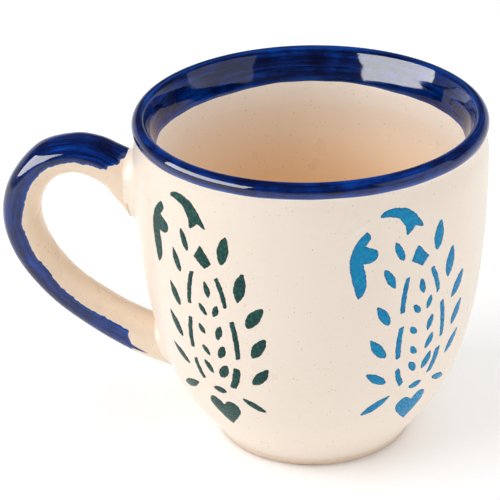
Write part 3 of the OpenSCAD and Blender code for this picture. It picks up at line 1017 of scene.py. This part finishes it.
def build_mug():
    """Every visible piece of the mug. The strap's clay is the CAD node itself, under its glaze."""
    clay = bare_clay()
    build_cup_and_handle(clay)
    build_sprigs()
    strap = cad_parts["handle"]
    strap.data.materials.clear()
    strap.data.materials.append(clay)


# ---- Floor, lights and camera ----

# The camera's turn round the mug from -Y and its rise, in degrees, and its distance in metres
view_angle = 7.5
view_rise = 27.47
view_distance = 0.5976
# The last turns that put the mug a little off the picture's centre, in degrees
aim_pan = 1.536
aim_tilt = 0.476
aim_roll = -0.676
# Brightness of the room on the camera's side, behind the mug and overhead
room_front = 0.2
room_back = 0.7
room_high = 0.08
# Power of each lamp in watts
key_power = 5.2
key_shine_power = 13
fill_power = 1.3
fill_haze_power = 1.9
top_power = 14.5


def studio_floor():
    """A pale, plain floor."""
    material, tree, shader = new_material(
        "studio_floor", Roughness=0.9, IOR=1.3, Emission_Color=(1, 1, 1, 1), Emission_Strength=0.24
    )
    tone = ramp(tree, noise(tree, place_of(tree), 3, 2), 0.3, 0.7)
    colour = mix(tree, tone, linear(248, 248, 248), linear(245, 245, 246))
    tree.links.new(colour, shader.inputs["Base Color"])
    mesh = bpy.data.meshes.new("studio_floor")
    half = 4
    corners = [(-half, -half, 0), (half, -half, 0), (half, half, 0), (-half, half, 0)]
    mesh.from_pydata(corners, [], [(0, 1, 2, 3)])
    mesh.materials.append(material)
    floor = bpy.data.objects.new("studio_floor", mesh)
    bpy.context.scene.collection.objects.link(floor)


def softbox(name, angle, distance, height, width, tall, power, mirrored=True, lit=True):
    """A softbox at an angle from the camera's side, aimed at the mug. Sizes are in metres. If it
    isn't mirrored, no glaze shows its reflection, and if it isn't lit, it only adds reflections."""
    turn = math.radians(view_angle + angle)
    light = bpy.data.lights.new(name, "AREA")
    light.shape = "RECTANGLE"
    light.size = width
    light.size_y = tall
    light.energy = power
    lamp = bpy.data.objects.new(name, light)
    lamp.visible_glossy = mirrored
    lamp.visible_diffuse = lit
    spot = Vector((distance * math.sin(turn), -distance * math.cos(turn), height))
    lamp.location = spot
    lamp.rotation_euler = (spot - Vector((0, 0, 0.05))).to_track_quat("Z", "Y").to_euler()
    bpy.context.scene.collection.objects.link(lamp)


def studio_room():
    """The room round the mug: a pale backdrop, a dimmer camera side and a dark ceiling."""
    world = bpy.data.worlds.new("studio")
    world.use_nodes = True
    tree = world.node_tree
    way = tree.nodes.new("ShaderNodeTexCoord").outputs["Generated"]
    parts = add_node(tree, "ShaderNodeSeparateXYZ", {"Vector": way}).outputs
    round_about = ramp(tree, parts["Y"], -0.2, 0.5, room_front, room_back)
    light = add_node(tree, "ShaderNodeMapRange", {
        "Value": parts["Z"], "From Min": 0.08, "From Max": 0.26,
        "To Min": round_about, "To Max": room_high,
    })
    sky = tree.nodes["Background"]
    sky.inputs["Color"].default_value = (1.0, 1.0, 1.0, 1.0)
    tree.links.new(light.outputs["Result"], sky.inputs["Strength"])
    bpy.context.scene.world = world


def studio_lights():
    """A key light on the left, a weaker fill on the right and a soft panel overhead. What the glaze
    mirrors of the key hangs lower than what lights the mug."""
    fill = (69, 0.9, 0.38, 0.95, 0.5)
    softbox("key_softbox", -69, 0.8, 0.62, 0.95, 0.42, key_power, mirrored=False)
    softbox("key_shine", -69, 0.8, 0.35, 0.95, 0.42, key_shine_power, lit=False)
    softbox("fill_softbox", *fill, fill_power)
    softbox("fill_haze", *fill, fill_haze_power, mirrored=False)
    softbox("top_panel", 180, 0.1, 1.3, 1.9, 1.7, top_power, mirrored=False)


def studio_camera():
    """The camera, with a long lens that frames the mug as the photo does."""
    elevation = math.radians(view_rise)
    target = Vector((0, 0, cup_top / 2 * MM))
    data = bpy.data.cameras.new("camera")
    data.sensor_width = 36
    data.lens = 165.19
    data.clip_start = 0.05
    camera = bpy.data.objects.new("camera", data)
    bpy.context.scene.collection.objects.link(camera)
    bpy.context.scene.camera = camera
    back = Vector((0, -math.cos(elevation), math.sin(elevation)))
    aim = (
        Matrix.Rotation(math.pi / 2 - elevation, 4, "X")
        @ Matrix.Rotation(math.radians(aim_pan), 4, "Y")
        @ Matrix.Rotation(math.radians(aim_tilt), 4, "X")
        @ Matrix.Rotation(math.radians(aim_roll), 4, "Z")
    )
    swing = Matrix.Rotation(math.radians(view_angle), 4, "Z")
    camera.matrix_world = swing @ Matrix.Translation(target + view_distance * back) @ aim


build_mug()
studio_floor()
studio_room()
studio_lights()
studio_camera()
bpy.context.scene.view_settings.view_transform = "Standard"
